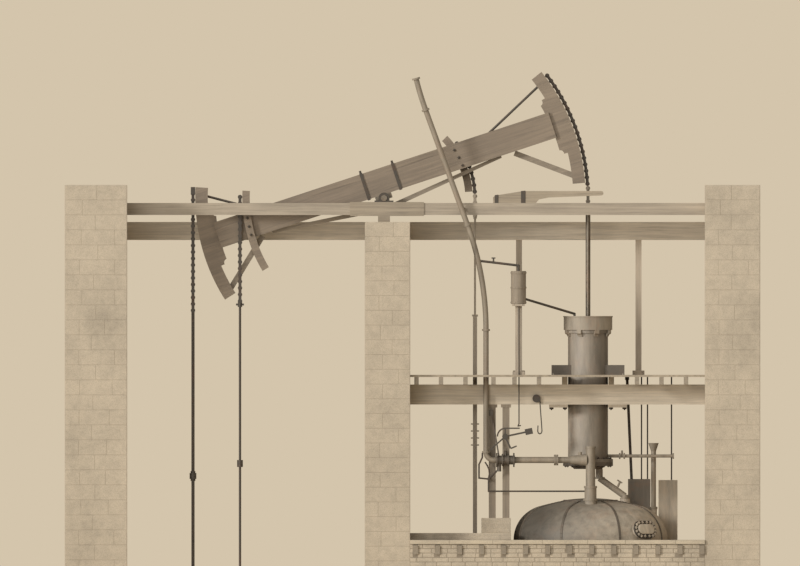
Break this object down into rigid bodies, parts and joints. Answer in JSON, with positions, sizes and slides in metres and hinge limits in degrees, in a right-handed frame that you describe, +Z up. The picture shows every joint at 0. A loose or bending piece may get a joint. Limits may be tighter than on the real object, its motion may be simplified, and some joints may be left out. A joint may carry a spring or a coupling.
{
  "type": "beam engine",
  "caption": "House-built atmospheric beam engine: rocking timber beam with arch heads and chains, open-topped cylinder over a domed boiler, pump rods and valve gear, on masonry.",
  "frame": {"origin": "ground level under the beam's pivot, on the underside of the lever wall", "axes": "+X along the beam towards the cylinder, +Y to the back, +Z up"},
  "size_m": [13.9, 3.68, 10.9627],
  "materials": {
    "stone": "pale plastered stone",
    "brick": "pale worn brick",
    "timber": "weathered oak",
    "pale_timber": "pale weathered oak",
    "iron": "dark forged iron",
    "cylinder_iron": "bored grey iron",
    "boiler_plate": "hammered plate",
    "pipe_metal": "dull lead grey"
  },
  "bodies": {
    "engine_house": {"lever_wall": "stone", "pump_end_wall": "stone", "steam_end_wall": "stone", "boiler_setting": "brick", "gear_platform": "brick", "spring_beams_pump": "timber", "spring_beams_steam": "timber", "bearing_blocks": "pale_timber", "plummer_blocks": "iron", "catch_springs": "pale_timber", "loft_beam_pump": "pale_timber", "loft_beam_steam": "pale_timber", "loft_posts": "pale_timber", "cylinder_beam_front": "timber", "cylinder_beam_back": "timber", "cylinder_bearers": "pale_timber", "cylinder_lugs": "iron", "hold_down_plates": "iron", "floor_joists": "timber", "floor_boards": "pale_timber", "gear_posts": "pale_timber", "steam_cylinder": "cylinder_iron", "cylinder_bottom": "iron", "cylinder_cup": "cylinder_iron", "boiler": "boiler_plate", "boiler_straps": "iron", "manhole": "iron", "steam_pipe": "pipe_metal", "injection_pipe": "pipe_metal", "valve_chest": "iron", "nozzle_pipe": "pipe_metal", "seal_tank": "pale_timber", "seal_tank_post": "pale_timber", "seal_pipes": "iron", "eduction_pipe": "pipe_metal", "snift_pipe": "pipe_metal", "hot_well": "iron", "feed_tank": "boiler_plate", "stand_pipe": "iron", "gauge_rods": "iron", "cord_pulley": "iron", "regulator_handle": "iron", "fire_door": "iron"},
    "beam": {"great_beam": "timber", "beam_straps": "iron", "gudgeon": "iron", "under_tie": "pale_timber", "steam_arch": "timber", "pump_arch": "timber", "side_arches": "timber", "arch_struts": "pale_timber", "arch_ties": "iron", "steam_chain": "iron", "plug_chain": "iron"},
    "piston": {"piston": "iron", "piston_rod": "iron"},
    "pump_rod": {"pump_rod": "iron"},
    "jack_rod": {"jack_rod": "iron"},
    "plug_rod": {"plug_rod": "timber"},
    "bob": {"tumbling_bob": "iron"}
  },
  "joints": [
    {"name": "beam_rock", "type": "hinge", "parent": "engine_house", "child": "beam", "pos_m": [0, 0, 8.44], "axis": [0, 1, 0], "range_deg": [0, 32]},
    {"name": "piston_slide", "type": "slide", "parent": "engine_house", "child": "piston", "axis": [0, 0, -1], "range_m": [0, 2.2807]},
    {"name": "pump_lift", "type": "slide", "parent": "engine_house", "child": "pump_rod", "axis": [0, 0, 1], "range_m": [0, 2.1355]},
    {"name": "jack_lift", "type": "slide", "parent": "engine_house", "child": "jack_rod", "axis": [0, 0, 1], "range_m": [0, 1.6105]},
    {"name": "plug_drop", "type": "slide", "parent": "engine_house", "child": "plug_rod", "axis": [0, 0, -1], "range_m": [0, 1.0185]},
    {"name": "bob_tumble", "type": "hinge", "parent": "engine_house", "child": "bob", "pos_m": [2.424, 0, 3.67], "axis": [0, 1, 0], "range_deg": [0, 35]}
  ],
  "couplings": [
    {"joint": "piston_slide", "follows": "beam_rock", "m_per_rad": 4.08},
    {"joint": "pump_lift", "follows": "beam_rock", "m_per_rad": 3.82},
    {"joint": "jack_lift", "follows": "beam_rock", "m_per_rad": 2.88},
    {"joint": "plug_drop", "follows": "beam_rock", "m_per_rad": 1.82}
  ]
}
